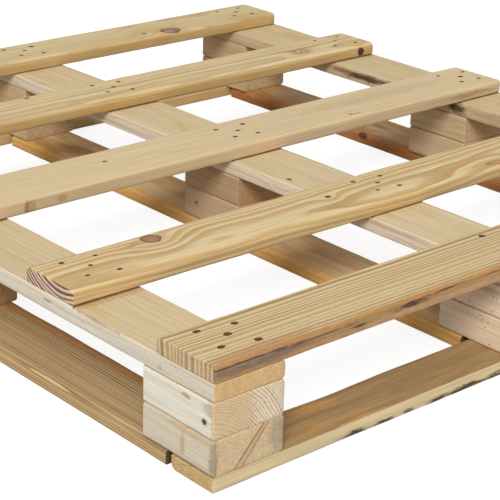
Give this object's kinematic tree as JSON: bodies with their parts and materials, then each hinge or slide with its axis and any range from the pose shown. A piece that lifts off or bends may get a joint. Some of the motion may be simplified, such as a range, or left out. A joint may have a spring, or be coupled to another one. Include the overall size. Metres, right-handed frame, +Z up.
{
  "type": "wooden pallet",
  "caption": "Four-way block pallet of softwood: spaced deck boards on stringer boards and doubled blocks, tied by bottom boards. Carries a load for forks to lift.",
  "frame": {"origin": "middle of the footprint, on the ground under the bottom boards", "axes": "+X along the deck boards, +Y along the stringer boards from front to rear, +Z up"},
  "size_m": [0.914, 1.016, 0.128],
  "materials": {
    "deck_wood": "planed yellow pine, unfinished",
    "stringer_wood": "planed pale pine, unfinished",
    "block_wood": "sawn pale pine, unfinished",
    "bottom_wood": "sawn yellow pine, unfinished",
    "nail_steel": "dull bright steel"
  },
  "bodies": {
    "root": {"bottom_board_front": "bottom_wood", "bottom_board_left": "bottom_wood", "bottom_board_middle": "bottom_wood", "bottom_board_rear": "bottom_wood", "bottom_board_right": "bottom_wood", "cross_board_nail_front_left": "nail_steel", "cross_board_nail_front_middle": "nail_steel", "cross_board_nail_front_right": "nail_steel", "cross_board_nail_rear_left": "nail_steel", "cross_board_nail_rear_middle": "nail_steel", "cross_board_nail_rear_right": "nail_steel", "deck_board_1": "deck_wood", "deck_board_2": "deck_wood", "deck_board_3": "deck_wood", "deck_board_4": "deck_wood", "deck_board_5": "deck_wood", "deck_nail_1_left": "nail_steel", "deck_nail_1_middle": "nail_steel", "deck_nail_1_right": "nail_steel", "deck_nail_2_left": "nail_steel", "deck_nail_2_middle": "nail_steel", "deck_nail_2_right": "nail_steel", "deck_nail_3_left": "nail_steel", "deck_nail_3_middle": "nail_steel", "deck_nail_3_right": "nail_steel", "deck_nail_4_left": "nail_steel", "deck_nail_4_middle": "nail_steel", "deck_nail_4_right": "nail_steel", "deck_nail_5_left": "nail_steel", "deck_nail_5_middle": "nail_steel", "deck_nail_5_right": "nail_steel", "long_board_nail_centre_left": "nail_steel", "long_board_nail_centre_right": "nail_steel", "long_board_nail_front_left": "nail_steel", "long_board_nail_front_middle": "nail_steel", "long_board_nail_front_right": "nail_steel", "long_board_nail_rear_left": "nail_steel", "long_board_nail_rear_middle": "nail_steel", "long_board_nail_rear_right": "nail_steel", "lower_block_centre_left": "block_wood", "lower_block_centre_middle": "block_wood", "lower_block_centre_right": "block_wood", "lower_block_front_left": "block_wood", "lower_block_front_middle": "block_wood", "lower_block_front_right": "block_wood", "lower_block_rear_left": "block_wood", "lower_block_rear_middle": "block_wood", "lower_block_rear_right": "block_wood", "stringer_board_left": "stringer_wood", "stringer_board_middle": "stringer_wood", "stringer_board_right": "stringer_wood", "upper_block_centre_left": "block_wood", "upper_block_centre_middle": "block_wood", "upper_block_centre_right": "block_wood", "upper_block_front_left": "block_wood", "upper_block_front_middle": "block_wood", "upper_block_front_right": "block_wood", "upper_block_rear_left": "block_wood", "upper_block_rear_middle": "block_wood", "upper_block_rear_right": "block_wood"}
  },
  "joints": []
}
